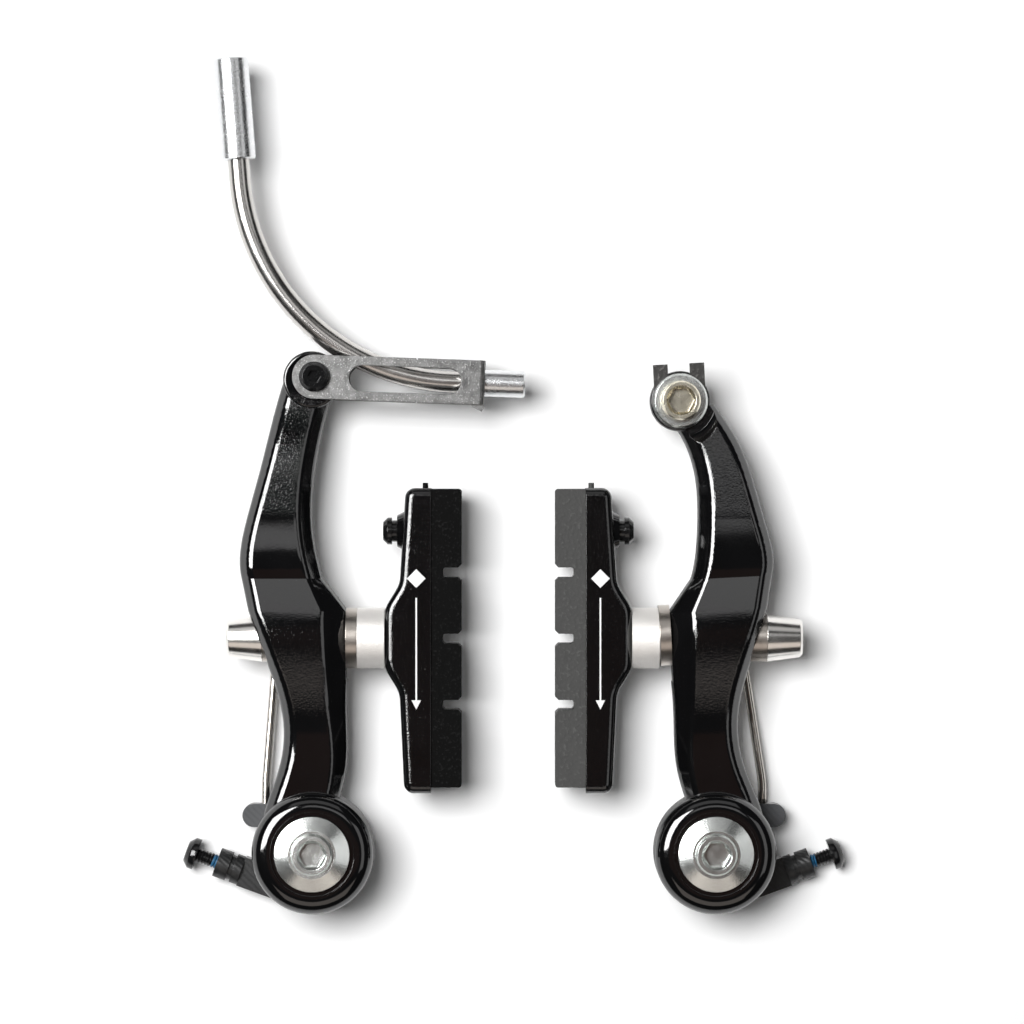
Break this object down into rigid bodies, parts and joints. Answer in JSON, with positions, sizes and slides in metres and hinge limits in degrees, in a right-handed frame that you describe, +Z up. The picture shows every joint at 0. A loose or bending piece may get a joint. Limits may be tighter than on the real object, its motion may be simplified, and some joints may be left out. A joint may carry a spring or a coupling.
{
  "type": "v brake",
  "caption": "Bicycle linear-pull rim brake: two sprung black alloy arms with rubber pads, a bent cable noodle on a swinging link and a cable clamp.",
  "frame": {"origin": "midway between the two pivot axes, on the plane where the pivot bushes seat on the fork", "axes": "+X across the wheel to the viewer's right, +Y along the pivots into the fork, +Z up the arms"},
  "size_m": [0.1428, 0.0236, 0.183],
  "materials": {
    "gloss_black_alloy": "gloss black paint over a finely pebbled forging",
    "gloss_black_holder": "gloss black paint",
    "pad_rubber": "matt moulded rubber with a fine grain",
    "zinc_steel": "bright zinc plate",
    "bush_brass": "turned",
    "carrier_plastic": "moulded black nylon",
    "black_steel": "black oxide with a light oil sheen",
    "spring_steel": "drawn stainless wire",
    "post_washer_steel": "turned, nickel plated",
    "post_washer_alloy": "matt bead-blasted",
    "chromed_nut": "polished nickel chrome",
    "stainless_link": "stamped stainless, tumbled",
    "polished_tube": "polished stainless",
    "bare_alloy": "bare turned alloy",
    "black_plate": "rough black plate"
  },
  "bodies": {
    "fork_fixings": {"left_pivot_bush": "bush_brass", "left_bolt_washer": "zinc_steel", "left_mounting_bolt": "zinc_steel", "left_spring_carrier": "carrier_plastic", "left_return_spring": "spring_steel", "right_pivot_bush": "bush_brass", "right_bolt_washer": "zinc_steel", "right_mounting_bolt": "zinc_steel", "right_spring_carrier": "carrier_plastic", "right_return_spring": "spring_steel"},
    "left_arm_body": {"left_arm": "gloss_black_alloy", "left_inner_cup_washer": "post_washer_steel", "left_inner_spacer": "post_washer_alloy", "left_outer_cup_washer": "post_washer_steel", "left_outer_spacer": "post_washer_steel", "left_pad_nut": "chromed_nut", "left_pad_stud": "post_washer_steel", "left_pad_holder": "gloss_black_holder", "left_brake_pad": "pad_rubber", "left_pad_screw": "black_steel", "link_pin": "black_steel"},
    "right_arm_body": {"right_arm": "gloss_black_alloy", "right_inner_cup_washer": "post_washer_steel", "right_inner_spacer": "post_washer_alloy", "right_outer_cup_washer": "post_washer_steel", "right_outer_spacer": "post_washer_steel", "right_pad_nut": "chromed_nut", "right_pad_stud": "post_washer_steel", "right_pad_holder": "gloss_black_holder", "right_brake_pad": "pad_rubber", "right_pad_screw": "black_steel", "cable_anchor_plate": "black_plate", "cable_clamp_washer": "zinc_steel", "cable_clamp_bolt": "zinc_steel"},
    "noodle_body": {"noodle_link": "stainless_link", "noodle_tube": "polished_tube", "noodle_nose": "bare_alloy", "noodle_ferrule": "bare_alloy"},
    "left_tension_screw_body": {"left_tension_screw": "black_steel"},
    "right_tension_screw_body": {"right_tension_screw": "black_steel"}
  },
  "joints": [
    {"name": "left_arm_pivot", "type": "hinge", "parent": "fork_fixings", "child": "left_arm_body", "pos_m": [-0.0429, 0, 0], "axis": [0, 1, 0], "range_deg": [-35, 7], "stiffness_Nm_per_rad": 1, "deforming": ["left_return_spring"]},
    {"name": "right_arm_pivot", "type": "hinge", "parent": "fork_fixings", "child": "right_arm_body", "pos_m": [0.0429, 0, 0], "axis": [0, -1, 0], "range_deg": [-35, 7], "stiffness_Nm_per_rad": 1, "deforming": ["right_return_spring"]},
    {"name": "noodle_link_swing", "type": "hinge", "parent": "left_arm_body", "child": "noodle_body", "pos_m": [-0.0426, -0.012, 0.1015], "axis": [0, -1, 0], "range_deg": [0, 45]},
    {"name": "left_tension_screw_travel", "type": "slide", "parent": "fork_fixings", "child": "left_tension_screw_body", "axis": [0.9397, 0, -0.342], "range_m": [0, 0.004]},
    {"name": "right_tension_screw_travel", "type": "slide", "parent": "fork_fixings", "child": "right_tension_screw_body", "axis": [-0.9397, 0, -0.342], "range_m": [0, 0.004]}
  ]
}
